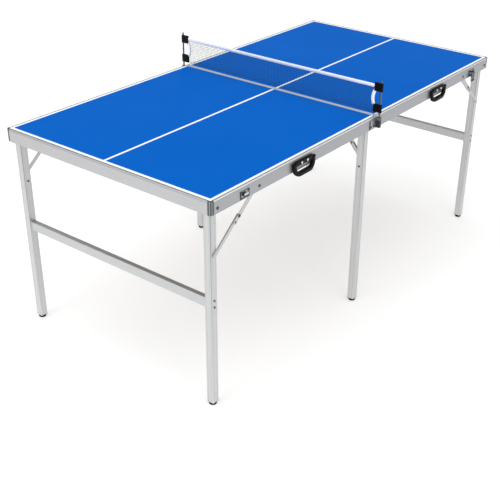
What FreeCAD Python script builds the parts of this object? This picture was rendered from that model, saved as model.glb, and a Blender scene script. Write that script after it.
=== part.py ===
import FreeCAD, Part
import math
import os

# A folding table-tennis table: two trays hinged together like a suitcase, each on three folding legs.
# Millimetres. Origin on the floor under the middle of the table. X runs along the table, Y across it,
# and the latches and carrying handles are on the -Y side.

Vector = FreeCAD.Vector
os.makedirs("parts", exist_ok=True)

# Overall sizes
table_length = 1829.0
table_width = 914.0
table_height = 762.0

# Frame rails and board
rail_height = 46.0
rail_wide = 7.0
rail_wall = 1.5
lip_wide = 4.0
bead_tall = 5.0
bead_setback = 1.0
bead_round = 1.5
middle_rail_wide = 18.0
middle_lip_wide = 9.0
board_thick = 12.0
board_gap = 0.5
seam_gap = 1.0
corner_side = 14.0
corner_round = 10.0
tongue_long = 24.0
tongue_gap = 0.25

# Legs
leg_side = 28.0
leg_wall = 1.6
leg_edge = 2.5
leg_top_gap = 1.6
end_leg_inset = 30.0
end_leg_side_gap = 11.0
middle_leg_seam_gap = 14.5
middle_leg_rail_gap = 2.0
foot_tall = 11.0
foot_cap_tall = 2.0
foot_radius = 13.3
foot_taper = 0.9
foot_plug_tall = 18.0
foot_plug_gap = 0.25
bracket_thick = 1.4
bracket_gap = 0.35
bracket_half = 12.0

# Crossbar of the end legs
crossbar_tall = 34.0
crossbar_deep = 20.0
crossbar_wall = 1.5
crossbar_up = 394.0
crossbar_rivet_step = 24.0
crossbar_inset = 4.0
crossbar_plug = 12.0
crossbar_rivet_deep = 9.0

# Folding stays: the drop is from leg pivot to stay pivot, the reach from leg pivot to rail pivot
end_stay_drop = 166.0
end_stay_reach = 199.5
middle_stay_drop = 155.0
middle_stay_reach = 120.0
lower_stay_wide = 12.0
lower_stay_thick = 4.8
upper_stay_wide = 16.0
upper_stay_thick = 1.6
upper_stay_overlap = 24.0
stay_flange_short = 22.0
stay_gap = 0.6
stay_step = 1.0
knuckle_radius = 3.0
knuckle_head_radius = 5.5
knuckle_head_tall = 1.4
washer_radius = 5.0

# Rivets and running fits
rivet_radius = 3.0
rivet_head_radius = 5.0
rivet_head_tall = 1.6
flush_head_tall = 0.5
small_rivet_radius = 2.0
small_head_radius = 4.0
small_head_tall = 1.3
running_gap = 0.05
face_gap = 0.3

# Hinge between the halves
hinge_place = 300.0
hinge_long = 80.0
hinge_knuckles = 5
hinge_knuckle_radius = 4.0
hinge_pin_radius = 2.0
hinge_pin_head = 1.2
hinge_leaf_thick = 1.5
hinge_leaf_wide = 17.0

# Carrying handles
handle_wide = 120.0
handle_arm_wide = 15.0
handle_arm_thick = 11.0
handle_pivot_drop = 20.5
handle_pivot_out = 6.0
handle_reach = 44.0
handle_grip_tall = 16.0
handle_grip_thick = 16.0
handle_corner = 28.0
handle_window_corner = 4.0
handle_plate_tall = 16.0
handle_plate_thick = 9.0
handle_pin_radius = 3.0
handle_pin_long = 9.0
handle_end_gap = 0.5
handle_screw_step = 32.0

# Draw latch and its keeper
latch_place = 156.5
latch_wide = 44.0
latch_tall = 27.0
latch_top_drop = 16.0
latch_sheet = 1.5
latch_lug_out = 9.0
latch_lug_step = 30.0
latch_pin_radius = 1.6
latch_pivot_drop = 29.0
latch_pivot_out = 6.0
lever_wide = 26.0
lever_reach = 31.0
lever_thick = 2.0
lever_top = 3.0
loop_wire_radius = 1.3
loop_pivot_down = 10.0
loop_long = 27.0
loop_wide = 16.0
keeper_hook_out = 8.0
keeper_hook_wide = 20.0

# Net, posts and sockets
post_radius = 3.2
post_out = 11.0
post_above = 130.0
socket_side = 13.0
socket_tall = 38.0
socket_bore_deep = 28.0
socket_plate_long = 45.0
socket_plate_thick = 2.0
socket_plate_tall = 31.0
socket_rivet_inset = 8.0
net_thick = 1.5
net_low = 14.0
net_high = 115.0
net_end_gap = 11.0
tab_wide = 34.0
tab_thick = 9.0
tab_tall = 30.0
tab_round = 2.5
upper_tab_up = 91.0
lower_tab_up = 13.0

# Places that follow from the sizes above
half_length = table_length / 2
half_width = table_width / 2
rail_low = table_height - rail_height
board_low = table_height - board_thick
pivot_up = board_low - bracket_thick - leg_top_gap - leg_side / 2
half_seam = seam_gap / 2
half_leg = leg_side / 2
end_leg_x = half_length - end_leg_inset
end_leg_y = half_width - rail_wide - end_leg_side_gap - half_leg
middle_leg_x = half_seam + middle_rail_wide + middle_leg_seam_gap + half_leg
middle_leg_y = half_width - rail_wide - middle_leg_rail_gap - half_leg
handle_x = half_length / 2
latch_x = half_length - latch_place
post_y = half_width + post_out
hinge_axis_z = rail_low - hinge_knuckle_radius - face_gap
post_low = table_height - socket_bore_deep - (board_thick - 2)

pieces = {}


def box(x0, x1, y0, y1, z0, z1):
    return Part.makeBox(x1 - x0, y1 - y0, z1 - z0, Vector(x0, y0, z0))


def rod_x(radius, x0, x1, y, z):
    return Part.makeCylinder(radius, x1 - x0, Vector(x0, y, z), Vector(1, 0, 0))


def rod_y(radius, y0, y1, x, z):
    return Part.makeCylinder(radius, y1 - y0, Vector(x, y0, z), Vector(0, 1, 0))


def rod_z(radius, z0, z1, x, y):
    return Part.makeCylinder(radius, z1 - z0, Vector(x, y, z0), Vector(0, 0, 1))


def joined(*shapes):
    return shapes[0].fuse(list(shapes[1:])).removeSplitter()


def rounded_box(x0, x1, y0, y1, z0, z1, radius, along):
    """A box with its four edges along one axis rounded."""
    block = box(x0, x1, y0, y1, z0, z1)
    edges = [e for e in block.Edges if abs(e.tangentAt(e.FirstParameter).dot(along)) > 0.99]
    return block.makeFillet(radius, edges)


def flip_x(shape):
    return shape.mirror(Vector(0, 0, 0), Vector(1, 0, 0))


def flip_y(shape):
    return shape.mirror(Vector(0, 0, 0), Vector(0, 1, 0))


def half_turn(shape):
    return flip_x(flip_y(shape))


def moved(shape, x, y, z, turn=0.0):
    """A copy turned about Z and then moved."""
    copy = shape.copy()
    copy.rotate(Vector(0, 0, 0), Vector(0, 0, 1), turn)
    copy.translate(Vector(x, y, z))
    return copy


def keep(name, *solids):
    pieces[name] = solids[0] if len(solids) == 1 else Part.makeCompound(list(solids))


def drilled(shape, rivets):
    """The shape with a clearance hole round each rivet's shank that crosses it."""
    for rivet in rivets:
        if not rivet.BoundBox.intersect(shape.BoundBox):
            continue
        rounds = [f for f in rivet.Faces if f.Surface.TypeId == "Part::GeomCylinder"]
        thin = min(f.Surface.Radius for f in rounds)
        for face in rounds:
            if face.Surface.Radius == thin:
                axis, (_, _, start, end) = face.Surface.Axis, face.ParameterRange
                base = face.Surface.Center + axis * start
                shape = shape.cut(Part.makeCylinder(thin + running_gap, end - start, base, axis))
    return shape


# ---- frame rails -------------------------------------------------------------------------------


def rail_face(place, wide, lip, beaded):
    """The rail's section: a hollow box under the board's edge and a lip beside it."""
    step = bead_setback if beaded else 0.0
    top = table_height
    corners = [(step, top - bead_round), (step, top - bead_tall), (0, top - bead_tall), (0, rail_low)]
    corners += [(wide, rail_low), (wide, board_low), (lip, board_low), (lip, top), (step + bead_round, top)]
    if not beaded:
        corners = [(0, top), (0, rail_low), (wide, rail_low), (wide, board_low), (lip, board_low), (lip, top)]
    points = [place(u, z) for u, z in corners]
    edges = [Part.makeLine(a, b) for a, b in zip(points, points[1:])]
    if beaded:
        bend = bead_round * (1 - math.sqrt(0.5))
        middle = place(step + bend, top - bend)
        edges.append(Part.Arc(points[-1], middle, points[0]).toShape())
    else:
        edges.append(Part.makeLine(points[-1], points[0]))
    low, high = rail_low + rail_wall, board_low - rail_wall
    hole = [(rail_wall, low), (wide - rail_wall, low), (wide - rail_wall, high), (rail_wall, high)]
    hole_points = [place(u, z) for u, z in hole + hole[:1]]
    solid_face = Part.Face(Part.Wire(edges))
    return solid_face.cut(Part.Face(Part.makePolygon(hole_points)))


def extruded(face, x, y, z):
    return face.extrude(Vector(x, y, z)).Solids[0]


def side_rail():
    start = -half_length + corner_side
    face = rail_face(lambda u, z: Vector(start, -half_width + u, z), rail_wide, lip_wide, True)
    return extruded(face, -half_seam - start, 0, 0)


def end_rail():
    start = -half_width + corner_side
    face = rail_face(lambda u, z: Vector(-half_length + u, start, z), rail_wide, lip_wide, True)
    return extruded(face, 0, -2 * start, 0)


def middle_rail():
    start = -half_width + rail_wide
    place = lambda u, z: Vector(-half_seam - u, start, z)
    rail = extruded(rail_face(place, middle_rail_wide, middle_lip_wide, False), 0, -2 * start, 0)
    lip = half_width - lip_wide
    ends = [box(-half_seam - middle_lip_wide, -half_seam, a, b, board_low, table_height)
            for a, b in ((-lip, start), (-start, lip))]
    return joined(rail, *ends)


def corner_moulding():
    """A rounded corner with a tongue for the hollow of each rail."""
    x0, y0 = -half_length, -half_width
    block = box(x0, x0 + corner_side, y0, y0 + corner_side, rail_low, table_height)
    outer = [e for e in block.Edges if e.BoundBox.XMax < x0 + 1 and e.BoundBox.YMax < y0 + 1]
    block = block.makeFillet(corner_round, outer)
    far = corner_side + 1
    pocket = box(x0 + lip_wide, x0 + far, y0 + lip_wide, y0 + far, board_low, table_height + 1)
    block = block.cut(pocket)
    inside = box(x0 + rail_wide, x0 + far, y0 + rail_wide, y0 + far, rail_low - 1, board_low - rail_wall)
    block = block.cut(inside)
    low, high = rail_low + rail_wall + tongue_gap, board_low - rail_wall - tongue_gap
    a, b = rail_wall + tongue_gap, rail_wide - rail_wall - tongue_gap
    end = corner_side + tongue_long
    along_x = box(x0 + corner_side, x0 + end, y0 + a, y0 + b, low, high)
    along_y = box(x0 + a, x0 + b, y0 + corner_side, y0 + end, low, high)
    return joined(block, along_x, along_y)


def board():
    edge = lip_wide + board_gap
    inner = -half_seam - middle_lip_wide - board_gap
    return box(-half_length + edge, inner, -half_width + edge, half_width - edge, board_low, table_height)


# ---- one leg, in a frame with its pivot at the origin: it hangs down and folds towards +X --------
# Its stays are on its -Y side. Layers are distances out from that side of the leg.


def layer(distance):
    return -half_leg - distance


lower_stay_in = stay_gap
lower_stay_out = lower_stay_in + lower_stay_thick
upper_stay_in = lower_stay_out + stay_step
upper_stay_out = upper_stay_in + upper_stay_thick


def stay_lengths(drop, reach):
    """Lower and upper link, so that the stay is straight when open and folds flat."""
    straight = math.hypot(drop, reach)
    folded = reach - drop
    return (straight + folded) / 2, (straight - folded) / 2


def stay_angle(drop, reach):
    """How steeply the open stay rises from the leg, in degrees."""
    return math.degrees(math.atan2(drop, reach))


def leg_tube(drop):
    bottom = foot_tall - pivot_up
    blank = rounded_box(-half_leg, half_leg, -half_leg, half_leg, bottom, 0, leg_edge, Vector(0, 0, 1))
    tube = joined(blank, rod_y(half_leg, -half_leg, half_leg, 0, 0))
    inner = half_leg - leg_wall
    hollow = joined(box(-inner, inner, -inner, inner, bottom - 1, 0), rod_y(inner, -inner, inner, 0, 0))
    tube = tube.cut(hollow)
    reach = half_leg + 1
    tube = tube.cut(rod_y(rivet_radius + running_gap, -reach, reach, 0, 0))
    return tube.cut(rod_y(small_rivet_radius + running_gap, -reach, reach, 0, -drop))


def end_leg():
    tube = leg_tube(end_stay_drop)
    for step in (-crossbar_rivet_step / 2, crossbar_rivet_step / 2):
        z = crossbar_up - pivot_up + step
        tube = tube.cut(rod_y(small_rivet_radius + running_gap, -half_leg - 1, half_leg + 1, 0, z))
    return tube


def foot():
    """Rubber foot: a tapered pad, a cap as wide as the leg and a plug up the tube."""
    low = -pivot_up
    pad_top = low + foot_tall - foot_cap_tall
    pad = Part.makeCone(foot_radius - foot_taper, foot_radius, pad_top - low, Vector(0, 0, low))
    cap_top = low + foot_tall
    cap = rounded_box(-half_leg, half_leg, -half_leg, half_leg, pad_top, cap_top, leg_edge, Vector(0, 0, 1))
    inner = half_leg - leg_wall - foot_plug_gap
    plug = box(-inner, inner, -inner, inner, cap_top, cap_top + foot_plug_tall)
    return joined(pad, cap, plug)


def leg_bracket():
    """A saddle over the top of the leg, fixed under the board."""
    roof = board_low - pivot_up
    outer = half_leg + bracket_gap + bracket_thick
    inner = half_leg + bracket_gap
    saddle = box(-bracket_half, bracket_half, -outer, outer, -bracket_half, roof)
    saddle = saddle.cut(box(-bracket_half - 1, bracket_half + 1, -inner, inner, -bracket_half - 1, roof - bracket_thick))
    return saddle.cut(rod_y(rivet_radius + running_gap, -outer - 1, outer + 1, 0, 0))


def pivot_rivet(rail_gap, through):
    """The leg's pivot, from the rail through the saddle and the leg."""
    start = layer(rail_gap + through)
    end = half_leg + bracket_gap + bracket_thick
    shank = rod_y(rivet_radius, start, end, 0, 0)
    tail = rod_y(rivet_head_radius, end, end + rivet_head_tall, 0, 0)
    outer_head = rod_y(rivet_head_radius, start - rivet_head_tall, start, 0, 0)
    return joined(outer_head, shank, tail)


def stay_rail_rivet(reach, rail_gap, through):
    """The stay's pivot on the rail, with its collar and a flush inner head."""
    start = layer(rail_gap + through)
    shank = rod_y(rivet_radius, start, layer(upper_stay_in), reach, 0)
    head = rod_y(rivet_head_radius, start - rivet_head_tall, start, reach, 0)
    collar = rod_y(washer_radius, layer(rail_gap), layer(upper_stay_out + face_gap), reach, 0)
    tail = rod_y(rivet_head_radius, layer(upper_stay_in), layer(upper_stay_in - flush_head_tall), reach, 0)
    return joined(head, shank, collar, tail)


def stay_leg_rivet(drop):
    """The rivet through the leg that the open stay's lower end points at."""
    shank = rod_y(small_rivet_radius, -half_leg, half_leg, 0, -drop)
    head = rod_y(small_head_radius, half_leg, half_leg + small_head_tall, 0, -drop)
    return joined(shank, head)


def link(long, wide, y_in, y_out, before=0.0):
    """A bar with round ends, its first pivot at the origin and its second at +X."""
    half = wide / 2
    y0, y1 = sorted((y_in, y_out))
    bar = box(-before, long, y0, y1, -half, half)
    return joined(bar, rod_y(half, y0, y1, -before, 0), rod_y(half, y0, y1, long, 0))


def lean(shape, degrees):
    """Turns a link in the XZ plane, from +X towards +Z."""
    copy = shape.copy()
    copy.rotate(Vector(0, 0, 0), Vector(0, -1, 0), degrees)
    return copy


def upper_stay(drop, reach):
    """The angle-section link on the rail, whose overlap stops the lower link past straight."""
    lower, upper = stay_lengths(drop, reach)
    half = upper_stay_wide / 2
    web = link(upper + upper_stay_overlap, upper_stay_wide, layer(upper_stay_in), layer(upper_stay_out))
    web = web.cut(rod_y(rivet_radius + running_gap, layer(upper_stay_out + 1), layer(upper_stay_in - 1), 0, 0))
    flange_end = upper + upper_stay_overlap
    flange = box(stay_flange_short, flange_end, layer(upper_stay_out), layer(lower_stay_in), half - upper_stay_thick, half)
    washer = rod_y(washer_radius, layer(upper_stay_in), layer(lower_stay_out + face_gap), upper, 0)
    stud = rod_y(knuckle_radius, layer(upper_stay_in), layer(lower_stay_in), upper, 0)
    head = rod_y(knuckle_head_radius, layer(upper_stay_out + knuckle_head_tall), layer(upper_stay_out), upper, 0)
    stop_at = upper + upper_stay_overlap
    stop = rod_y(knuckle_radius, layer(upper_stay_out + knuckle_head_tall), layer(upper_stay_out), stop_at, 0)
    shape = joined(web, flange, washer, stud, head, stop)
    shape = lean(shape, 180 + stay_angle(drop, reach))
    shape.translate(Vector(reach, 0, 0))
    return shape


def lower_stay(drop, reach):
    """The bar between the knuckle and the leg."""
    lower, upper = stay_lengths(drop, reach)
    bar = link(lower, lower_stay_wide, layer(lower_stay_in), layer(lower_stay_out))
    hole = rod_y(knuckle_radius + running_gap, layer(lower_stay_out + 1), layer(lower_stay_in - 1), 0, 0)
    bar = bar.cut(hole)
    pin_end = rod_y(small_head_radius, layer(lower_stay_out + stay_step / 2), layer(lower_stay_out), lower, 0)
    bar = lean(joined(bar, pin_end), 180 + stay_angle(drop, reach))
    angle = math.radians(stay_angle(drop, reach))
    bar.translate(Vector(lower * math.cos(angle), 0, -drop + lower * math.sin(angle)))
    return bar


def crossbar():
    """The hollow bar between the end legs, with a plug in each end for the rivets."""
    span = end_leg_y - half_leg
    x0 = -end_leg_x - half_leg + crossbar_inset
    low, high = crossbar_up - crossbar_tall / 2, crossbar_up + crossbar_tall / 2
    bar = rounded_box(x0, x0 + crossbar_deep, -span, span, low, high, leg_edge, Vector(0, 1, 0))
    wall = crossbar_wall
    plug = span - crossbar_plug
    bar = bar.cut(box(x0 + wall, x0 + crossbar_deep - wall, -plug, plug, low + wall, high - wall))
    return drilled(bar, crossbar_rivets(-1) + crossbar_rivets(1))


def crossbar_rivets(side):
    """Two rivets from the leg's outer face into the end of the crossbar."""
    solids = []
    for step in (-crossbar_rivet_step / 2, crossbar_rivet_step / 2):
        z = crossbar_up + step
        outer = -end_leg_y - half_leg
        shank = rod_y(small_rivet_radius, outer, outer + leg_side + crossbar_rivet_deep, -end_leg_x, z)
        head = rod_y(small_head_radius, outer - small_head_tall, outer, -end_leg_x, z)
        rivet = joined(head, shank)
        solids.append(rivet if side < 0 else flip_y(rivet))
    return solids


# ---- hinge between the halves ------------------------------------------------------------------


def hinge_leaf(side, centre):
    """One leaf under a middle rail. Its knuckles alternate with the other leaf's."""
    pitch = hinge_long / hinge_knuckles
    start = centre - hinge_long / 2
    thick = hinge_leaf_thick
    near = hinge_knuckle_radius + 2 * face_gap
    far = half_seam + hinge_leaf_wide
    leaf = box(near, far, start, start + hinge_long, rail_low - thick, rail_low)
    parts = [leaf]
    first = 0 if side < 0 else 1
    for index in range(first, hinge_knuckles, 2):
        y0 = start + index * pitch + face_gap / 2
        y1 = y0 + pitch - face_gap
        parts.append(rod_y(hinge_knuckle_radius, y0, y1, 0, hinge_axis_z))
        neck_top = hinge_axis_z + hinge_knuckle_radius
        parts.append(box(0, near, y0, y1, neck_top - thick, neck_top))
    shape = joined(*parts)
    hole = rod_y(hinge_pin_radius + running_gap, start - 1, start + hinge_long + 1, 0, hinge_axis_z)
    shape = shape.cut(hole)
    return flip_x(shape) if side < 0 else shape


def hinge_pin(centre):
    start, end = centre - hinge_long / 2, centre + hinge_long / 2
    pin = rod_y(hinge_pin_radius, start, end, 0, hinge_axis_z)
    heads = [rod_y(hinge_knuckle_radius - 0.6, a, a + hinge_pin_head, 0, hinge_axis_z)
             for a in (start - hinge_pin_head, end)]
    return joined(pin, *heads)


# ---- carrying handle, made at the left half's place --------------------------------------------

handle_face = -half_width
handle_pivot_y = handle_face - handle_pivot_out
handle_pivot_z = table_height - handle_pivot_drop
handle_inner = handle_wide / 2 - handle_arm_wide


def handle_plate():
    """The mounting plate on the rail, with a pin out of each end."""
    x = -handle_x
    half = handle_inner - handle_end_gap
    z0 = handle_pivot_z - handle_plate_tall / 2
    y0 = handle_face - handle_plate_thick
    plate = rounded_box(x - half, x + half, y0, handle_face, z0, z0 + handle_plate_tall, 2.0, Vector(1, 0, 0))
    reach = half + handle_pin_long
    pins = rod_x(handle_pin_radius, x - reach, x + reach, handle_pivot_y, handle_pivot_z)
    plate = joined(plate, pins)
    for screw in (-handle_screw_step / 2, handle_screw_step / 2):
        plate = plate.cut(rod_y(small_rivet_radius + running_gap, y0 - 1, handle_face + 1, x + screw, handle_pivot_z))
    return plate


def handle_grip():
    """The swinging bail: two arms and a thick grip that hangs below the rail."""
    x = -handle_x
    half = handle_wide / 2
    arm = handle_arm_thick / 2
    y0 = handle_pivot_y - arm
    y1 = handle_pivot_y + arm
    bottom = handle_pivot_z - handle_reach
    grip_top = bottom + handle_grip_tall
    outer = box(x - half, x + half, y0, y1, bottom, handle_pivot_z)
    corners = [e for e in outer.Edges if e.BoundBox.ZMax < bottom + 1 and e.BoundBox.YLength > arm]
    outer = outer.makeFillet(handle_corner, corners)
    window = rounded_box(x - handle_inner, x + handle_inner, y0 - 1, y1 + 1, grip_top, handle_pivot_z + arm + 20,
                         handle_window_corner, Vector(0, 1, 0))
    outer = outer.cut(window)
    ends = [rod_x(arm, a, a + handle_arm_wide, handle_pivot_y, handle_pivot_z)
            for a in (x - half, x + handle_inner)]
    inset = handle_corner * 0.6
    swell = rounded_box(x - half + inset, x + half - inset, y1 - handle_grip_thick, y1, bottom, grip_top, 5.0,
                        Vector(1, 0, 0))
    bail = joined(outer, swell, *ends)
    reach = handle_inner + handle_pin_long
    bore = rod_x(handle_pin_radius + running_gap, x - reach, x + reach, handle_pivot_y, handle_pivot_z)
    return bail.cut(bore)


# ---- draw latch on the right half, keeper on the left -------------------------------------------

latch_pivot_y = -half_width - latch_pivot_out
latch_pivot_z = table_height - latch_pivot_drop
loop_pivot_z = latch_pivot_z - loop_pivot_down


def latch_base():
    x = latch_x
    top = table_height - latch_top_drop
    face = -half_width
    plate = box(x - latch_wide / 2, x + latch_wide / 2, face - latch_sheet, face, top - latch_tall, top)
    lugs = []
    for side in (-1, 1):
        a = x + side * latch_lug_step / 2
        lug = box(a - latch_sheet / 2, a + latch_sheet / 2, face - latch_lug_out, face, latch_pivot_z - 4, latch_pivot_z + 4)
        lugs.append(lug)
    pin = rod_x(latch_pin_radius, x - latch_lug_step / 2 - 2, x + latch_lug_step / 2 + 2, latch_pivot_y, latch_pivot_z)
    shape = joined(plate, pin, *lugs)
    for hole_x in (x - latch_wide / 2 + 4, x + latch_wide / 2 - 4):
        shape = shape.cut(rod_y(small_rivet_radius + running_gap, face - 3, face + 1, hole_x, top - 5))
    return shape


def latch_lever():
    """The lever, with two ears on the latch pin and two on the loop."""
    x = latch_x
    out = latch_pivot_y - latch_pivot_out + lever_thick
    bottom = latch_pivot_z - lever_reach
    half = lever_wide / 2
    plate = box(x - half, x + half, out - lever_thick, out, bottom, latch_pivot_z + lever_top)
    ears = []
    for side in (-1, 1):
        a = x + side * (half - latch_sheet / 2)
        ear = box(a - latch_sheet / 2, a + latch_sheet / 2, out - lever_thick, latch_pivot_y + 3,
                  loop_pivot_z - 4, latch_pivot_z + lever_top)
        ears.append(ear)
    shape = joined(plate, *ears)
    lip = box(x - half, x + half, out - lever_thick - 3, out, bottom - lever_thick, bottom)
    shape = joined(shape, lip)
    reach = half + 1
    shape = shape.cut(rod_x(latch_pin_radius + running_gap, x - reach, x + reach, latch_pivot_y, latch_pivot_z))
    return shape.cut(rod_x(loop_wire_radius + running_gap, x - reach, x + reach, latch_pivot_y, loop_pivot_z))


def latch_loop():
    """A closed wire loop that hangs from the lever's ears."""
    x = latch_x
    half = loop_wide / 2
    low = loop_pivot_z - loop_long
    reach = lever_wide / 2
    y = latch_pivot_y
    cross = rod_x(loop_wire_radius, x - reach, x + reach, y, loop_pivot_z)
    sides = [rod_z(loop_wire_radius, low, loop_pivot_z, x + s * half, y) for s in (-1, 1)]
    bottom = rod_x(loop_wire_radius, x - half, x + half, y, low)
    balls = [Part.makeSphere(loop_wire_radius, Vector(x + s * half, y, low)) for s in (-1, 1)]
    return joined(cross, bottom, *sides, *balls)


def latch_keeper():
    """The hook plate that the loop pulls on when the table is folded."""
    x = -latch_x
    top = table_height - latch_top_drop
    face = -half_width
    half = keeper_hook_wide / 2
    plate = box(x - latch_wide / 2, x + latch_wide / 2, face - latch_sheet, face, top - latch_tall, top)
    arm_z = latch_pivot_z - 4
    arm = box(x - half, x + half, face - keeper_hook_out, face, arm_z, arm_z + lever_thick)
    lip = box(x - half, x + half, face - keeper_hook_out, face - keeper_hook_out + lever_thick, arm_z, arm_z + 9)
    shape = joined(plate, arm, lip)
    for hole_x in (x - latch_wide / 2 + 4, x + latch_wide / 2 - 4):
        shape = shape.cut(rod_y(small_rivet_radius + running_gap, face - 3, face + 1, hole_x, top - 5))
    return shape


# ---- net, posts and sockets --------------------------------------------------------------------


def post_socket():
    """A plate on the left half's rail with a blind socket for the net post."""
    face = -half_width
    z0 = post_low - 4
    plate_y = face - socket_plate_thick
    plate = box(-socket_plate_long, -half_seam, plate_y, face, z0, z0 + socket_plate_tall)
    half = socket_side / 2
    y0 = -post_y - half
    block = rounded_box(-half, half, y0, plate_y, z0, z0 + socket_tall, 3.0, Vector(0, 0, 1))
    shape = joined(plate, block)
    shape = shape.cut(rod_z(post_radius + running_gap, post_low, z0 + socket_tall + 1, 0, -post_y))
    for hole_x in socket_rivet_places():
        shape = shape.cut(rod_y(small_rivet_radius + running_gap, plate_y - 1, face + 1, hole_x, z0 + socket_rivet_inset))
    return shape


def socket_rivet_places():
    return (-socket_plate_long + socket_rivet_inset, -socket_plate_long + 3 * socket_rivet_inset)


def net_tab(side, up):
    """A sleeve round the post that grips the end of the net."""
    z0 = table_height + up
    outer = post_y + post_radius + 3
    half = tab_thick / 2
    tab = rounded_box(-half, half, -outer, -outer + tab_wide, z0, z0 + tab_tall, tab_round, Vector(0, 0, 1))
    tab = tab.cut(rod_z(post_radius + running_gap, z0 - 1, z0 + tab_tall + 1, 0, -post_y))
    net_edge = half_width - net_end_gap
    slot = box(-net_thick / 2 - running_gap, net_thick / 2 + running_gap, -net_edge - running_gap,
               -outer + tab_wide + 1, z0 - 1, z0 + tab_tall + 1)
    tab = tab.cut(slot)
    return tab if side < 0 else flip_y(tab)


def net_cloth():
    half = half_width - net_end_gap
    return box(-net_thick / 2, net_thick / 2, -half, half, table_height + net_low, table_height + net_high)


# ---- rivets of one half ------------------------------------------------------------------------


def small_rivet(x, out_from, z, depth):
    """A small rivet in the -Y rail, its head on the face at out_from."""
    shank = rod_y(small_rivet_radius, out_from, -half_width + depth, x, z)
    head = rod_y(small_head_radius, out_from - small_head_tall, out_from, x, z)
    return joined(head, shank)


end_spot = (-end_leg_x, -end_leg_y, pivot_up)
middle_spot = (-middle_leg_x, -middle_leg_y, pivot_up, 90)
end_gap = end_leg_side_gap
middle_gap = middle_leg_seam_gap

end_pivot = moved(pivot_rivet(end_gap, rail_wide), *end_spot)
end_stay_pivot = moved(stay_rail_rivet(end_stay_reach, end_gap, rail_wide), *end_spot)
middle_pivot = moved(pivot_rivet(middle_gap, rail_wall), *middle_spot)
middle_stay_pivot = moved(stay_rail_rivet(middle_stay_reach, middle_gap, rail_wall), *middle_spot)
latch_rivet_z = table_height - latch_top_drop - 5
latch_rivets = [small_rivet(-latch_x + s * (latch_wide / 2 - 4), -half_width - latch_sheet, latch_rivet_z, rail_wide)
                for s in (-1, 1)]
handle_rivets = [small_rivet(-handle_x + s * handle_screw_step / 2, handle_face - handle_plate_thick, handle_pivot_z,
                             rail_wide) for s in (-1, 1)]
socket_rivets = [small_rivet(x, -half_width - socket_plate_thick, post_low - 4 + socket_rivet_inset, rail_wide)
                 for x in socket_rivet_places()]
front_rivets = [end_pivot, end_stay_pivot] + latch_rivets + handle_rivets
back_rivets = [flip_y(end_pivot), flip_y(end_stay_pivot)]
socket_rivets_all = socket_rivets + [flip_y(r) for r in socket_rivets]

left_rivets = front_rivets + back_rivets + [middle_pivot, middle_stay_pivot] + socket_rivets_all
right_rivets = [flip_x(r) for r in front_rivets + back_rivets]
right_rivets += [half_turn(middle_pivot), half_turn(middle_stay_pivot)]


# ---- build every node --------------------------------------------------------------------------

front_rail = side_rail()
left_corner = drilled(corner_moulding(), [end_pivot])
end_piece = end_rail()
middle_piece = middle_rail()

keep("left_board", board())
keep("left_front_rail", drilled(front_rail, [end_pivot, end_stay_pivot] + latch_rivets + handle_rivets + socket_rivets))
keep("left_back_rail", drilled(flip_y(front_rail), back_rivets + socket_rivets_all[2:]))
keep("left_end_rail", end_piece)
keep("left_middle_rail", drilled(middle_piece, [middle_pivot, middle_stay_pivot]))
keep("left_corner_mouldings", left_corner, flip_y(left_corner))
keep("right_board", flip_x(board()))
keep("right_front_rail", drilled(flip_x(front_rail), right_rivets[:6]))
keep("right_back_rail", drilled(half_turn(front_rail), right_rivets[6:8]))
keep("right_end_rail", flip_x(end_piece))
keep("right_middle_rail", drilled(flip_x(middle_piece), right_rivets[8:]))
keep("right_corner_mouldings", flip_x(left_corner), half_turn(left_corner))

bracket = leg_bracket()
end_bracket = moved(bracket, *end_spot)
middle_bracket = moved(bracket, *middle_spot)
keep("left_leg_brackets", end_bracket, flip_y(end_bracket), middle_bracket)
keep("right_leg_brackets", flip_x(end_bracket), half_turn(end_bracket), half_turn(middle_bracket))
keep("left_frame_rivets", *left_rivets)
keep("right_frame_rivets", *right_rivets)

leg = moved(end_leg(), *end_spot)
leg_foot = moved(foot(), *end_spot)
stay_rivet = moved(stay_leg_rivet(end_stay_drop), *end_spot)
bar_rivets = crossbar_rivets(-1) + crossbar_rivets(1)
keep("left_front_leg", leg)
keep("left_back_leg", flip_y(leg))
keep("left_crossbar", crossbar())
keep("left_leg_rivets", *bar_rivets, stay_rivet, flip_y(stay_rivet))
keep("left_end_feet", leg_foot, flip_y(leg_foot))
keep("right_front_leg", flip_x(leg))
keep("right_back_leg", half_turn(leg))
keep("right_crossbar", flip_x(crossbar()))
keep("right_leg_rivets", *[flip_x(r) for r in bar_rivets], flip_x(stay_rivet), half_turn(stay_rivet))
keep("right_end_feet", flip_x(leg_foot), half_turn(leg_foot))

for link_name, link_maker in (("upper_stay", upper_stay), ("lower_stay", lower_stay)):
    end_link = moved(link_maker(end_stay_drop, end_stay_reach), *end_spot)
    middle_link = moved(link_maker(middle_stay_drop, middle_stay_reach), *middle_spot)
    keep("left_front_" + link_name, end_link)
    keep("left_back_" + link_name, flip_y(end_link))
    keep("right_front_" + link_name, flip_x(end_link))
    keep("right_back_" + link_name, half_turn(end_link))
    keep("left_middle_" + link_name, middle_link)
    keep("right_middle_" + link_name, half_turn(middle_link))

middle_leg = moved(leg_tube(middle_stay_drop), *middle_spot)
middle_foot = moved(foot(), *middle_spot)
middle_rivet = moved(stay_leg_rivet(middle_stay_drop), *middle_spot)
keep("left_middle_leg", middle_leg)
keep("left_middle_foot", middle_foot)
keep("left_middle_leg_rivet", middle_rivet)
keep("right_middle_leg", half_turn(middle_leg))
keep("right_middle_foot", half_turn(middle_foot))
keep("right_middle_leg_rivet", half_turn(middle_rivet))

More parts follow.
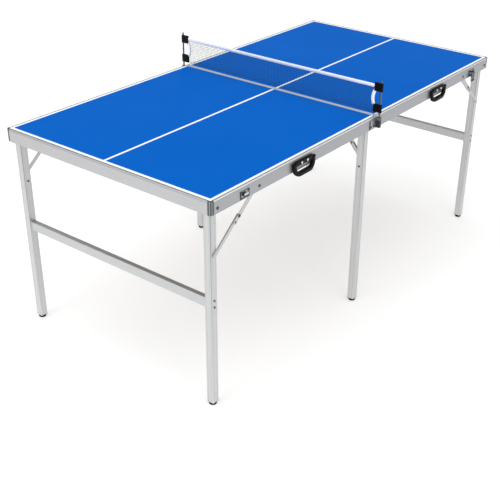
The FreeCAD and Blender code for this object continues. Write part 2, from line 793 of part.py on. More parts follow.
keep("left_hinge_leaves", hinge_leaf(-1, -hinge_place), hinge_leaf(-1, hinge_place))
keep("right_hinge_leaves", hinge_leaf(1, -hinge_place), hinge_leaf(1, hinge_place))
keep("hinge_pins", hinge_pin(-hinge_place), hinge_pin(hinge_place))

keep("left_handle_plate", handle_plate())
keep("left_handle_grip", handle_grip())
keep("right_handle_plate", flip_x(handle_plate()))
keep("right_handle_grip", flip_x(handle_grip()))
keep("latch_base", latch_base())
keep("latch_lever", latch_lever())
keep("latch_loop", latch_loop())
keep("latch_keeper", latch_keeper())

socket = post_socket()
post = rod_z(post_radius, post_low, table_height + post_above, 0, -post_y)
keep("net_post_sockets", socket, flip_y(socket))
keep("net_posts", post, flip_y(post))
keep("net_tabs", *[net_tab(side, up) for side in (-1, 1) for up in (lower_tab_up, upper_tab_up)])
keep("net_cloth", net_cloth())

for name, shape in pieces.items():
    if not shape.isValid() or not shape.Solids:
        print("not a valid solid:", name)
    shape.exportStep("parts/" + name + ".step")
print(len(pieces), "nodes,", sum(len(s.Solids) for s in pieces.values()), "solids")
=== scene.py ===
import math
import bmesh
import bpy
from mathutils import Matrix, Vector


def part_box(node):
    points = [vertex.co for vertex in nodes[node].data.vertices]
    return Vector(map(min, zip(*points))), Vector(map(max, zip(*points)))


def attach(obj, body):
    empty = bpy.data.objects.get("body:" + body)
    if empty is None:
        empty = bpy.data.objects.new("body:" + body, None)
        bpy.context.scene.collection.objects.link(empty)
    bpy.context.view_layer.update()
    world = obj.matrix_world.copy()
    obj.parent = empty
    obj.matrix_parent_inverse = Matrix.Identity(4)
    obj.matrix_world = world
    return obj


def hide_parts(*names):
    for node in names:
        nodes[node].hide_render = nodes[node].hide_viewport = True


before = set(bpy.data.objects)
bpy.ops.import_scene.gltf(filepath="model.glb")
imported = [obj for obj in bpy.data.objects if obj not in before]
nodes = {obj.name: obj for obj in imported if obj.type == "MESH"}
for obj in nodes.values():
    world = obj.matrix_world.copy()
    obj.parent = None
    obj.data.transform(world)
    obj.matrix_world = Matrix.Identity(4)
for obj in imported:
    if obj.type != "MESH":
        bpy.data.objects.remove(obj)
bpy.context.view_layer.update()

# the faces that patterns and new pieces are measured from, in metres
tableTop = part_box("left_board")[1].z
halfLength = -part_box("left_end_rail")[0].x
halfWidth = -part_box("left_front_rail")[0].y


def srgb(red, green, blue):
    # paint values from 0 to 255, as shader colour
    def lin(value):
        value /= 255
        return value / 12.92 if value <= 0.04045 else ((value + 0.055) / 1.055) ** 2.4
    return (lin(red), lin(green), lin(blue), 1)


class Wire:
    # one shader output, so that maths on it reads as an expression
    def __init__(self, paint, socket):
        self.paint, self.socket = paint, socket

    def maths(self, operation, *values):
        return self.paint.node("ShaderNodeMath", {"operation": operation}, dict(enumerate(values)))

    def __add__(self, other):
        return self.maths("ADD", self, other)

    def __sub__(self, other):
        return self.maths("SUBTRACT", self, other)

    def __rsub__(self, other):
        return self.maths("SUBTRACT", other, self)

    def __mul__(self, other):
        return self.maths("MULTIPLY", self, other)

    def __mod__(self, other):
        return self.maths("FLOORED_MODULO", self, other)

    def __gt__(self, other):
        return self.maths("GREATER_THAN", self, other)

    def __lt__(self, other):
        return self.maths("LESS_THAN", self, other)

    def __abs__(self):
        return self.maths("ABSOLUTE", self)

    def either(self, other):
        return self.maths("MAXIMUM", self, other)

    def both(self, other):
        return self.maths("MINIMUM", self, other)

    __radd__ = __add__
    __rmul__ = __mul__


class Paint:
    # one material and the nodes in it
    def __init__(self, name):
        self.material = bpy.data.materials.new(name)
        self.material.use_nodes = True
        self.tree = self.material.node_tree
        self.tree.nodes.clear()
        self.place = self.node("ShaderNodeTexCoord", {}, {}, output="Object")

    def node(self, kind, settings, inputs, output=0):
        made = self.tree.nodes.new(kind)
        for key, value in settings.items():
            setattr(made, key, value)
        for key, value in inputs.items():
            if isinstance(value, Wire):
                self.tree.links.new(value.socket, made.inputs[key])
            else:
                made.inputs[key].default_value = value
        return Wire(self, made.outputs[output]) if made.outputs else None

    def axes(self):
        split = self.node("ShaderNodeSeparateXYZ", {}, {0: self.place})
        return [Wire(self, out) for out in split.socket.node.outputs]

    def stretched(self, scale):
        return self.node("ShaderNodeVectorMath", {"operation": "MULTIPLY"}, {0: self.place, 1: scale})

    def noise(self, scale, detail=2.0, along=None):
        where = self.stretched(along) if along else self.place
        values = {"Vector": where, "Scale": scale, "Detail": detail, "Roughness": 0.6}
        return self.node("ShaderNodeTexNoise", {}, values)

    def spangle(self):
        # the crystals of a zinc coat
        return self.node("ShaderNodeTexVoronoi", {}, {"Vector": self.place, "Scale": 260.0})

    def mixed(self, mask, low, high):
        return self.node("ShaderNodeMix", {"data_type": "RGBA"}, {0: mask, 6: low, 7: high}, output=2)

    def between(self, mask, low, high):
        return mask * (high - low) + low

    def bump(self, height, distance, strength):
        values = {"Height": height, "Distance": distance, "Strength": strength}
        return self.node("ShaderNodeBump", {}, values)

    def surface(self, **looks):
        named = {key.replace("_", " "): value for key, value in looks.items()}
        shader = self.node("ShaderNodeBsdfPrincipled", {}, named)
        self.node("ShaderNodeOutputMaterial", {}, {0: shader})
        return self.material


board = {
    "blue": srgb(0, 99, 197), "deepBlue": srgb(0, 92, 188), "line": srgb(246, 250, 252),
    # the rim colour is painted shade of the gap between the board and the rail's lip
    "rim": srgb(38, 40, 46), "fibre": srgb(146, 134, 118), "fibreDark": srgb(120, 108, 94),
    "sideBorder": 0.0180, "endBorder": 0.0195, "centreLine": 0.0046, "gapShadeWide": 0.0073,
    "skin": 0.0008, "shine": 0.012, "underRough": 0.85, "topRough": (0.36, 0.44),
}


def boardFinish():
    # painted top with its white lines and a dark rim of painted shade where the board meets the rail's lip, and
    # plain fibreboard below
    paint = Paint("tableBlue")
    x, y, z = paint.axes()
    cloud, grain = paint.noise(3.0, 3.0), paint.noise(900.0)
    sideLine = abs(y) > halfWidth - board["sideBorder"]
    endLine = abs(x) > halfLength - board["endBorder"]
    lines = sideLine.either(endLine).either(abs(y) < board["centreLine"])
    # the rim is painted shade of the gap between the board and the rail's lip
    rim = (abs(y) > halfWidth - board["gapShadeWide"]).either(abs(x) > halfLength - board["gapShadeWide"])
    top = paint.mixed(lines, paint.mixed(cloud, board["blue"], board["deepBlue"]), board["line"])
    top = paint.mixed(rim, top, board["rim"])
    fibres = paint.noise(60.0, 6.0, (1.0, 3.0, 1.0))
    under = paint.mixed(fibres, board["fibreDark"], board["fibre"])
    isTop = z > tableTop - board["skin"]
    rough = paint.between(isTop, board["underRough"], 0.0) + isTop * paint.between(cloud, *board["topRough"])
    return paint.surface(Base_Color=paint.mixed(isTop, under, top), Roughness=rough,
                         Specular_IOR_Level=board["shine"], Normal=paint.bump(grain, 0.00005, 0.5))


# a pair of colours is mixed by noise. The side rails get a darker pair than the end rails, as a shaded and a lit
# copy of one aluminium, and the seam rails get a brighter bluish pair as a painted reflection
rail = {
    "side": (srgb(154, 156, 160), srgb(174, 175, 178)), "end": (srgb(172, 173, 175), srgb(190, 190, 191)),
    "seamReflection": (srgb(198, 208, 224), srgb(218, 228, 242)), "bar": (srgb(182, 183, 184), srgb(198, 199, 200)),
    # the bead colour is a painted highlight, and the dark colour for the crease is painted shade
    "beadHighlight": srgb(240, 241, 243), "creaseShade": srgb(70, 71, 74), "creaseDown": 0.0052, "creaseTall": 0.0011,
    "metallic": 0.75,
}


def railFinish(name, along, colours, rough=0.36, crease=0.0, beadHighlight=0.0):
    # aluminium with fine draw lines along it, a painted highlight on the bead on top and a line of painted shade
    # in the crease under that
    paint = Paint(name)
    x, y, z = paint.axes()
    drawn, patch = paint.noise(420.0, 3.0, along), paint.noise(9.0, 3.0)
    creaseUp = tableTop - rail["creaseDown"]
    colour = paint.mixed(drawn * 0.6 + patch * 0.4, *colours)
    colour = paint.mixed((z > creaseUp) * beadHighlight, colour, rail["beadHighlight"])
    # a line of painted shade in the crease under the bead
    line = abs(z - creaseUp) < rail["creaseTall"] / 2
    colour = paint.mixed(line * crease, colour, rail["creaseShade"])
    return paint.surface(Base_Color=colour, Metallic=rail["metallic"],
                         Roughness=paint.between(patch, rough - 0.06, rough + 0.08),
                         Normal=paint.bump(drawn, 0.00004, 0.6))


leg = {
    # the groove, corner and upper colours are painted shade
    "colours": (srgb(194, 195, 196), srgb(212, 212, 212)), "grooveShade": srgb(120, 121, 123),
    "cornerShade": srgb(76, 77, 80), "upper": srgb(150, 151, 153), "darkensBy": 1.35,
    "groove": 0.0068, "grooveWide": 0.0011, "grooveDeep": 0.0004, "face": 0.0135, "edge": 0.0122,
    "metallic": 0.72,
}


def legFinish(name, tube):
    # square tube with two shallow grooves down each face, with painted shade in the grooves and along its corners,
    # and painted shade of the table that darkens it towards its top
    low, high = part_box(tube)
    paint = Paint(name)
    x, y, z = paint.axes()
    across = abs(abs(x) - (low.x + high.x) / 2)
    deep = abs(abs(y) - (low.y + high.y) / 2)
    grooveX = abs(across - leg["groove"]) < leg["grooveWide"] / 2
    grooveY = abs(deep - leg["groove"]) < leg["grooveWide"] / 2
    groove = grooveX.both(deep > leg["face"]).either(grooveY.both(across > leg["face"]))
    edge = (across > leg["edge"]).both(deep > leg["edge"])
    # painted shade of the table, growing towards the top of the leg
    shadeTowardsTop = (z * leg["darkensBy"]).both(1.0)
    drawn, patch = paint.noise(420.0, 3.0, (1.0, 1.0, 0.02)), paint.noise(7.0, 3.0)
    colour = paint.mixed(drawn * 0.6 + patch * 0.4, *leg["colours"])
    colour = paint.mixed(groove * 0.35, colour, leg["grooveShade"])
    colour = paint.mixed(shadeTowardsTop * 0.22, colour, leg["upper"])
    colour = paint.mixed(edge * shadeTowardsTop * 0.8, colour, leg["cornerShade"])
    return paint.surface(Base_Color=colour, Metallic=leg["metallic"], Roughness=paint.between(patch, 0.28, 0.42),
                         Normal=paint.bump(drawn * 0.06 - groove, leg["grooveDeep"], 0.8))


steel = {
    "plated": (srgb(158, 160, 164), srgb(202, 204, 207)), "lever": (srgb(60, 64, 74), srgb(96, 102, 112)),
    "loop": (srgb(206, 200, 188), srgb(236, 232, 222)), "metallic": 0.9,
}


def steelFinish(name, colours, rough):
    paint = Paint(name)
    patch = paint.noise(40.0, 3.0)
    colour = paint.mixed(paint.spangle() * 0.5 + patch * 0.5, *colours)
    return paint.surface(Base_Color=colour, Metallic=steel["metallic"],
                         Roughness=paint.between(patch, rough - 0.08, rough + 0.1),
                         Normal=paint.bump(patch, 0.00005, 0.5))


plastic = {
    "handle": (srgb(8, 8, 9), srgb(17, 17, 19)), "tab": (srgb(3, 4, 6), srgb(10, 11, 14)),
    "rubber": (srgb(4, 4, 4), srgb(10, 10, 10)),
}


def plasticFinish(name, colours, rough, shine, grainScale=1400.0):
    # moulded plastic or rubber: fine grain, and paler where it has been handled
    paint = Paint(name)
    grain, patch = paint.noise(grainScale), paint.noise(25.0, 3.0)
    return paint.surface(Base_Color=paint.mixed(patch * 0.5, *colours), Specular_IOR_Level=shine,
                         Roughness=paint.between(patch, rough - 0.05, rough + 0.08),
                         Normal=paint.bump(grain, 0.00008, 0.6))


corner = {
    # the rib colour is a painted highlight
    "colours": (srgb(64, 68, 69), srgb(84, 88, 89)), "ribHighlight": srgb(190, 194, 195),
    "ribOut": 0.0052, "ribWide": 0.0016, "ribTall": 0.0005,
}


def cornerFinish():
    # grey moulding with two ribs beside its rounded corner, painted bright as highlights
    paint = Paint("cornerGrey")
    x, y, z = paint.axes()
    along = (abs(x) - halfLength) - (abs(y) - halfWidth)
    ribs = abs(abs(along) - corner["ribOut"]) < corner["ribWide"] / 2
    patch, grain = paint.noise(25.0, 3.0), paint.noise(1400.0)
    colour = paint.mixed(ribs * 0.8, paint.mixed(patch * 0.5, *corner["colours"]), corner["ribHighlight"])
    return paint.surface(Base_Color=colour, Roughness=paint.between(patch, 0.34, 0.48),
                         Normal=paint.bump(grain * 0.05 + ribs, corner["ribTall"], 0.5))


catch = {
    # the bright colour of the proud part is polished steel with a painted highlight
    "steel": (srgb(112, 118, 122), srgb(160, 165, 169)), "darkRimColour": srgb(48, 52, 56),
    "polishAndHighlight": srgb(206, 210, 214), "shadow": srgb(30, 32, 35),
    "darkRimSide": 0.0042, "darkRimFoot": 0.0055, "plateOut": 0.0024, "shadowDown": 0.0005, "metallic": 0.9,
}


def catchFinish(name, node):
    # bright steel catch, darker round its plate's sides and foot, with its proud hook or lever polished and
    # painted brighter as a highlight, and painted shadow under that
    low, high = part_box(node)
    paint = Paint(name)
    x, y, z = paint.axes()
    sideways = abs(x - (low.x + high.x) / 2)
    # darker round the plate's sides and foot
    darkRim = (sideways > (high.x - low.x) / 2 - catch["darkRimSide"]).either(z < low.z + catch["darkRimFoot"])
    proud = y < -halfWidth - catch["plateOut"]
    under = proud.both(z < (low.z + high.z) / 2 - catch["shadowDown"])
    patch = paint.noise(70.0, 3.0)
    colour = paint.mixed(darkRim * 0.85, paint.mixed(patch, *catch["steel"]), catch["darkRimColour"])
    colour = paint.mixed(proud, colour, catch["polishAndHighlight"])
    colour = paint.mixed(under * 0.8, colour, catch["shadow"])
    return paint.surface(Base_Color=colour, Metallic=catch["metallic"], Roughness=paint.between(patch, 0.16, 0.3),
                         Normal=paint.bump(patch, 0.00006, 0.5))


rivet = {
    "dull": (srgb(58, 59, 62), srgb(96, 97, 100)), "bright": srgb(235, 236, 238),
    "handleOut": 0.0082, "metallic": 0.85,
}


def rivetFinish():
    # dark steel rivets, bright where they hold the carrying handles
    paint = Paint("rivetSteel")
    x, y, z = paint.axes()
    patch = paint.noise(90.0, 3.0)
    bright = y < -halfWidth - rivet["handleOut"]
    colour = paint.mixed(bright, paint.mixed(patch, *rivet["dull"]), rivet["bright"])
    return paint.surface(Base_Color=colour, Metallic=rivet["metallic"], Roughness=paint.between(patch, 0.26, 0.42),
                         Normal=paint.bump(patch, 0.00005, 0.5))


stay = {
    "zinc": (srgb(176, 177, 179), srgb(205, 206, 207)), "pin": srgb(30, 31, 34), "pinOut": 0.0009,
    "metallic": 0.62,
}


def stayFinish(name, outer):
    # zinc-plated strip, with dark pins standing proud of it at outer, the furthest its knuckle reaches
    paint = Paint(name)
    x, y, z = paint.axes()
    patch = paint.noise(40.0, 3.0)
    zinc = paint.mixed(paint.spangle() * 0.5 + patch * 0.5, *stay["zinc"])
    pins = abs(y) > outer - stay["pinOut"]
    return paint.surface(Base_Color=paint.mixed(pins * 0.95, zinc, stay["pin"]), Metallic=stay["metallic"],
                         Roughness=paint.between(patch, 0.3, 0.46), Normal=paint.bump(patch, 0.00005, 0.5))


post = {
    # the rod colours are tinted blue as a painted reflection of the board
    "rodBlueReflection": (srgb(64, 72, 84), srgb(112, 120, 134)), "rodMetallic": 0.95,
    "plate": (srgb(150, 152, 156), srgb(196, 198, 200)), "block": srgb(26, 27, 30), "collar": srgb(88, 92, 97),
    "plateOut": 0.0026, "slotShadeWide": 0.0028, "collarTall": 0.011, "plateMetallic": 0.85,
}


def rodFinish():
    paint = Paint("rodSteelBlueReflection")
    # drawn steel, tinted blue as a painted reflection of the board
    drawn = paint.noise(300.0, 2.0, (1.0, 1.0, 0.05))
    return paint.surface(Base_Color=paint.mixed(drawn, *post["rodBlueReflection"]), Metallic=post["rodMetallic"],
                         Roughness=paint.between(drawn, 0.2, 0.3))


def socketFinish():
    # plated plate, and a black block with a steel collar where the post goes in, and painted shadow of a gap along
    # the plate's left end
    left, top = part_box("net_post_sockets")[0].x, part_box("net_post_sockets")[1].z
    paint = Paint("postSocket")
    x, y, z = paint.axes()
    outside = abs(y) > halfWidth + post["plateOut"]
    # the strip at the plate's left end is painted shadow of a gap
    block = outside.either(x < left + post["slotShadeWide"])
    patch = paint.noise(60.0, 3.0)
    colour = paint.mixed(block, paint.mixed(patch, *post["plate"]), post["block"])
    colour = paint.mixed(outside.both(z > top - post["collarTall"]), colour, post["collar"])
    return paint.surface(Base_Color=colour, Metallic=(1 - block) * post["plateMetallic"],
                         Roughness=paint.between(block, 0.34, 0.55), Normal=paint.bump(patch, 0.0001, 0.5))


def finished(mesh, name, body, finish):
    # turns a bmesh into a smooth piece that rides on a body
    bmesh.ops.remove_doubles(mesh, verts=mesh.verts, dist=1e-6)
    bmesh.ops.recalc_face_normals(mesh, faces=mesh.faces)
    data = bpy.data.meshes.new(name)
    mesh.to_mesh(data)
    mesh.free()
    for face in data.polygons:
        face.use_smooth = True
    piece = bpy.data.objects.new(name, data)
    bpy.context.collection.objects.link(piece)
    data.materials.append(finish)
    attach(piece, body)
    return piece


def turned(mesh, profile, centre, steps=32):
    # spins an outline of (radius, height) points about the upright through centre
    points = [mesh.verts.new(centre + Vector((radius, 0, height))) for radius, height in profile]
    edges = [mesh.edges.new(pair) for pair in zip(points, points[1:])]
    bmesh.ops.spin(mesh, geom=points + edges, cent=centre, axis=(0, 0, 1), dvec=(0, 0, 0),
                   angle=math.tau, steps=steps, use_merge=True, use_normal_flip=False, use_duplicate=False)


def quarter(step=15):
    # angles of a quarter turn
    return [math.radians(degrees) for degrees in range(0, 91, step)]


net = {
    "pitch": 0.0068, "threadWide": 0.0008, "threadDeep": 0.00108, "edgeMiddle": 0.4395, "edgeBow": 0.024,
    "ripple": 0.0008, "rippleLong": 0.11, "droop": 0.0012, "droopLong": 0.041, "footUp": 0.002,
    "cord": 0.0007, "cordSteps": 180, "thread": (srgb(26, 30, 38), srgb(54, 58, 66)),
}
clothLow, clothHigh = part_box("net_cloth")[0].z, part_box("net_cloth")[1].z
clothTall = clothHigh - clothLow

tape = {
    "tall": 0.0118, "thick": 0.0006, "gap": 0.0013, "sag": 0.0012, "sideWide": 0.0125, "endIn": 0.006,
    "bandUp": 0.026, "bandDown": 0.004, "bandOut": 0.002, "weave": 0.0011, "stitchIn": 0.0022,
    "stitchLong": 0.004, "white": (srgb(240, 241, 242), srgb(254, 254, 254)), "stitch": srgb(206, 208, 212),
}


def threadFinish():
    paint = Paint("netThread")
    twist = paint.noise(900.0)
    return paint.surface(Base_Color=paint.mixed(twist, *net["thread"]), Specular_IOR_Level=0.1,
                         Roughness=paint.between(twist, 0.8, 0.95))


def tapeFinish():
    # woven white tape with a stitched line along each edge
    paint = Paint("netTape")
    x, y, z = paint.axes()
    warp, weft = ((axis % tape["weave"]) > tape["weave"] / 2 for axis in (y, z))
    weave = abs(warp - weft)
    middle = clothHigh - tape["tall"] / 2
    stitchUp = tape["tall"] / 2 - tape["stitchIn"]
    row = abs(abs(z - middle) - stitchUp) < 0.0005
    stitch = row.both((y % tape["stitchLong"]) > 0.0012)
    colour = paint.mixed(stitch, paint.mixed(weave, *tape["white"]), tape["stitch"])
    return paint.surface(Base_Color=colour, Roughness=paint.between(weave, 0.7, 0.85), Sheen_Weight=0.2,
                         Normal=paint.bump(weave * 0.25 - stitch, 0.0002, 0.6))


def netEdge(z):
    # how far out the net reaches at height z: it is drawn in between the tabs
    share = (z - (clothLow + clothHigh) / 2) / (clothTall / 2)
    return net["edgeMiddle"] + net["edgeBow"] * share * share


def netWave(y, up):
    # the slack at the foot of the net, none at its top
    ripple = net["ripple"] * (1 - up) * math.sin(y / net["rippleLong"] * math.tau)
    droop = net["droop"] * (1 - up) * math.sin(y / net["droopLong"] * math.tau)
    return Vector((ripple, 0, droop))


def makeNetting(finish):
    # a grid as fine as the net's pitch, turned into threads
    mesh = bmesh.new()
    bmesh.ops.create_grid(mesh, x_segments=round(2 * net["edgeMiddle"] / net["pitch"]),
                          y_segments=round(clothTall / net["pitch"]), size=0.5)
    for vert in mesh.verts:
        share, up = vert.co.x * 2, vert.co.y + 0.5
        z = clothLow + up * (clothTall - net["footUp"])
        y = share * netEdge(z)
        vert.co = Vector((0, y, z)) + netWave(y, up)
    bmesh.ops.recalc_face_normals(mesh, faces=mesh.faces)
    bmesh.ops.wireframe(mesh, faces=mesh.faces, thickness=net["threadWide"], offset=0.0, use_replace=True,
                        use_boundary=False, use_even_offset=True)
    bmesh.ops.scale(mesh, verts=mesh.verts, vec=(net["threadDeep"] / net["threadWide"], 1, 1))
    return finished(mesh, "netting", "net_set", finish)


def makeHem(finish):
    # the cord that the net's lowest threads are knotted to
    mesh = bmesh.new()
    ring = bmesh.ops.create_circle(mesh, cap_ends=False, segments=8, radius=net["cord"])["verts"]
    end = netEdge(clothLow) - 0.002
    for vert in ring:
        vert.co = Vector((vert.co.x, -end, clothLow + vert.co.y))
    edges = list({edge for vert in ring for edge in vert.link_edges})
    for i in range(net["cordSteps"]):
        new = bmesh.ops.extrude_edge_only(mesh, edges=edges)["geom"]
        verts = [item for item in new if isinstance(item, bmesh.types.BMVert)]
        edges = [item for item in new if isinstance(item, bmesh.types.BMEdge) and item.is_boundary]
        bmesh.ops.translate(mesh, verts=verts, vec=(0, 2 * end / net["cordSteps"], 0))
    for vert in mesh.verts:
        vert.co += netWave(vert.co.y, 0.0)
    return finished(mesh, "hemCord", "net_set", finish)


def foldedTape(name, route, inward, wide, finish):
    # a tape folded over the net's edge: route is the line of the fold, and inward points over the net
    mesh = bmesh.new()
    gap = tape["gap"]
    outline = [(-gap, wide)]
    outline += [(-gap * math.cos(a), gap - gap * math.sin(a)) for a in (0, math.pi / 4, math.pi / 2)]
    outline += [(gap * math.sin(a), gap - gap * math.cos(a)) for a in (math.pi / 4, math.pi / 2)]
    outline.append((gap, wide))
    rows = [[mesh.verts.new(point + Vector((side, 0, 0)) + inward * depth) for side, depth in outline]
            for point in route]
    edges = [[mesh.edges.new(pair) for pair in zip(row, row[1:])] for row in rows]
    for one, two in zip(edges, edges[1:]):
        bmesh.ops.bridge_loops(mesh, edges=one + two)
    piece = finished(mesh, name, "net_set", finish)
    solid = piece.modifiers.new("thickness", "SOLIDIFY")
    solid.thickness, solid.offset = tape["thick"], 0.0
    return piece


def makeNet(threads, white):
    cloth = makeNetting(threads)
    end = netEdge(clothHigh) - tape["endIn"]
    ridge = []
    for i in range(49):
        share = 2 * i / 48 - 1
        ridge.append(Vector((0, end * share, clothHigh - tape["sag"] * math.cos(math.pi / 2 * share))))
    top = foldedTape("topTape", ridge, Vector((0, 0, -1)), tape["tall"], white)
    low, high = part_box("net_tabs")[0].z + tape["bandUp"], clothHigh - tape["bandDown"]
    heights = [low + (high - low) * i / 16 for i in range(17)]
    for name, side in (("frontBand", -1), ("backBand", 1)):
        line = [Vector((0, side * (netEdge(z) + tape["bandOut"]), z)) for z in heights]
        foldedTape(name, line, Vector((0, -side, 0)), tape["sideWide"], white)
    2 * net["edgeMiddle"]
    makeHem(threads)
    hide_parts("net_cloth")
    print("net done", len(cloth.data.polygons), "faces")


foot = {
    "radius": 0.0133, "capTall": 0.0011, "capSoft": 0.0004, "round": 0.0030, "hollow": 0.0009,
    "groove": 0.0006, "grooveTall": 0.0014, "grooveUp": 0.62,
}


def footOutline(tall):
    # half section of the pad: hollow underneath, rounded rim, one groove round its side
    radius, bend, groove = foot["radius"], foot["round"], foot["groove"]
    grooveUp, half = tall * foot["grooveUp"], foot["grooveTall"] / 2
    outline = [(0.0, foot["hollow"]), (radius * 0.45, foot["hollow"] * 2 / 3), (radius * 0.5, 0.0)]
    outline += [(radius - bend + bend * math.sin(a), bend - bend * math.cos(a)) for a in quarter()]
    outline += [(radius, grooveUp - half), (radius - groove, grooveUp), (radius, grooveUp + half)]
    return outline + [(radius, tall), (0.0, tall)]


def makeFeet(rubber):
    for side in ("left", "right"):
        for node, name, body, tube in (
                (side + "_end_feet", side + "_endFootPads", side + "_end_legs", side + "_front_leg"),
                (side + "_middle_foot", side + "_middleFootPad", side + "_middle_leg", side + "_middle_leg")):
            low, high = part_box(node)
            legSide, legLow = high.x - low.x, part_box(tube)[0].z
            centreX = (low.x + high.x) / 2
            mesh = bmesh.new()
            # the node holds one foot or a pair, at its front and back ends
            for centreY in sorted({round(low.y + legSide / 2, 6), round(high.y - legSide / 2, 6)}):
                turned(mesh, footOutline(legLow - foot["capTall"]), Vector((centreX, centreY, 0)))
                cap = bmesh.ops.create_cube(mesh, size=1.0)["verts"]
                bmesh.ops.scale(mesh, verts=cap, vec=(legSide, legSide, foot["capTall"]))
                bmesh.ops.translate(mesh, verts=cap, vec=(centreX, centreY, legLow - foot["capTall"] / 2))
                rim = {edge for vert in cap for edge in vert.link_edges}
                bmesh.ops.bevel(mesh, geom=list(rim), offset=foot["capSoft"], segments=2, profile=0.5,
                                affect="EDGES", material=-1)
            piece = finished(mesh, name, body, rubber)
            piece.data.set_sharp_from_angle(angle=math.radians(35))
            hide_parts(node)
    print("feet done")


bail = {
    "armWide": 0.015, "armDeep": 0.011, "gripTall": 0.016, "gripDeep": 0.0158, "bend": 0.026,
    "square": 0.55, "segments": 28, "knobSoft": 0.0012,
}


def bailPath(half, top, bottom):
    # down one arm, round the corner, along the grip and up: points of (across, up, share of grip)
    bend = bail["bend"]
    low = bottom + bail["gripTall"] / 2
    side = half - bail["armWide"] / 2
    points = [(-side, top - i * (top - low - bend) / 3, 0.0) for i in range(4)]
    for i in range(1, 8):
        turn = math.pi / 2 * i / 7
        points.append((-side + bend - bend * math.cos(turn), low + bend - bend * math.sin(turn), i / 7))
    return points + [(-side * 0.25, low, 1.0)] + [(-x, z, share) for x, z, share in reversed(points)]


def sweepBail(mesh, path, centreX, backY):
    # draws a rounded square section along the path, flat against the rail at backY
    ring = bmesh.ops.create_circle(mesh, cap_ends=True, segments=bail["segments"], radius=1.0)["verts"]
    section = [Vector((math.copysign(abs(vert.co.x) ** bail["square"], vert.co.x),
                       math.copysign(abs(vert.co.y) ** bail["square"], vert.co.y))) for vert in ring]
    edges = list(mesh.edges)
    for i, (across, up, share) in enumerate(path):
        if i:
            new = bmesh.ops.extrude_edge_only(mesh, edges=edges)["geom"]
            ring = [item for item in new if isinstance(item, bmesh.types.BMVert)]
            edges = [item for item in new if isinstance(item, bmesh.types.BMEdge) and
                     all(vert in ring for vert in item.verts)]
        before, after = path[max(i - 1, 0)], path[min(i + 1, len(path) - 1)]
        run = Vector((after[0] - before[0], after[1] - before[1])).normalized()
        wide = bail["armWide"] + (bail["gripTall"] - bail["armWide"]) * share
        deep = bail["armDeep"] + (bail["gripDeep"] - bail["armDeep"]) * share
        for vert, (u, v) in zip(ring, section):
            out = u * wide / 2
            vert.co = Vector((centreX + across - run.y * out, backY - deep / 2 + v * deep / 2, up + run.x * out))
    bmesh.ops.edgeloop_fill(mesh, edges=edges)


def makeHandles(black):
    for side in ("left", "right"):
        node = side + "_handle_grip"
        low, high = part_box(node)
        centreX, half = (low.x + high.x) / 2, (high.x - low.x) / 2
        radius = bail["armDeep"] / 2
        pivotZ = high.z - radius
        mesh = bmesh.new()
        sweepBail(mesh, bailPath(half, pivotZ, low.z), centreX, high.y)
        for sign in (-1, 1):
            x = centreX + sign * (half - bail["armWide"] / 2)
            place = Matrix.Translation((x, high.y - radius, pivotZ)) @ Matrix.Rotation(math.pi / 2, 4, "Y")
            knob = bmesh.ops.create_cone(mesh, cap_ends=True, segments=32, radius1=radius, radius2=radius,
                                         depth=bail["armWide"], matrix=place)["verts"]
            rims = [edge for edge in mesh.edges if all(vert in knob for vert in edge.verts) and
                    abs(edge.verts[0].co.x - edge.verts[1].co.x) < 1e-6]
            bmesh.ops.bevel(mesh, geom=rims, offset=bail["knobSoft"], segments=3, profile=0.5,
                            affect="EDGES", material=-1)
        piece = finished(mesh, side + "HandleBail", side + "_handle", black)
        piece.data.set_sharp_from_angle(angle=math.radians(50))
        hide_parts(node)
    print("handles done")


def makePostCaps(rodBlueReflection):
    # low domes that close the tops of the net posts
    low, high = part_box("net_posts")
    radius = (high.x - low.x) / 2
    mesh = bmesh.new()
    for y in (low.y + radius, high.y - radius):
        dome = [(radius * math.cos(a), radius * 0.6 * math.sin(a)) for a in quarter()]
        turned(mesh, dome, Vector((0, y, high.z)), steps=20)
    finished(mesh, "postCaps", "net_set", rodBlueReflection)
    print("post caps done")


def soften(piece, width):
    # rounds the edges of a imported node, whose triangles are loose until they are welded
    weld = piece.modifiers.new("weld", "WELD")
    weld.merge_threshold = 1e-5
    bevel = piece.modifiers.new("bevel", "BEVEL")
    bevel.width, bevel.segments, bevel.profile = width, 2, 0.5
    bevel.limit_method, bevel.angle_limit = "ANGLE", math.radians(35)
    bevel.use_clamp_overlap = True


def dress(names, finish, edge=0.0):
    for name in names:
        piece = nodes[name]
        piece.data.materials.clear()
        piece.data.materials.append(finish)
        if edge:
            soften(piece, edge)


def kneeFinish(place):
    # the upper stays' knuckle pins reach the furthest out, at the same distance on both sides
    low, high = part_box(f"right_{place}_upper_stay")
    return stayFinish(place + "Knee", max(abs(low.y), abs(high.y)))


boardLook = boardFinish()
# the side rails are painted as shaded aluminium, the end rails as lit aluminium, and the seam rails with a painted
# reflection
shadedSideLook = railFinish("sideRailShaded", (0.02, 1.0, 1.0), rail["side"], crease=0.4, beadHighlight=0.85)
litEndLook = railFinish("endRailLit", (1.0, 0.02, 1.0), rail["end"], crease=0.3)
seamReflectionLook = railFinish("seamRailReflection", (1.0, 0.02, 1.0), rail["seamReflection"], 0.45)
barLook = railFinish("crossbarMetal", (1.0, 0.02, 1.0), rail["bar"], 0.34)
platedLook = steelFinish("platedSteel", steel["plated"], 0.3)
stayLook = stayFinish("stayZinc", 1.0)  # a lower stay has no pins of its own
rivetLook = rivetFinish()
cornerLook = cornerFinish()
handleLook = plasticFinish("handleBlack", plastic["handle"], 0.42, 0.12)
tabLook = plasticFinish("tabBlack", plastic["tab"], 0.5, 0.1)
rubberLook = plasticFinish("footRubber", plastic["rubber"], 0.85, 0.01, 700.0)
rodLook = rodFinish()
endLegLook = legFinish("endLegTube", "right_back_leg")
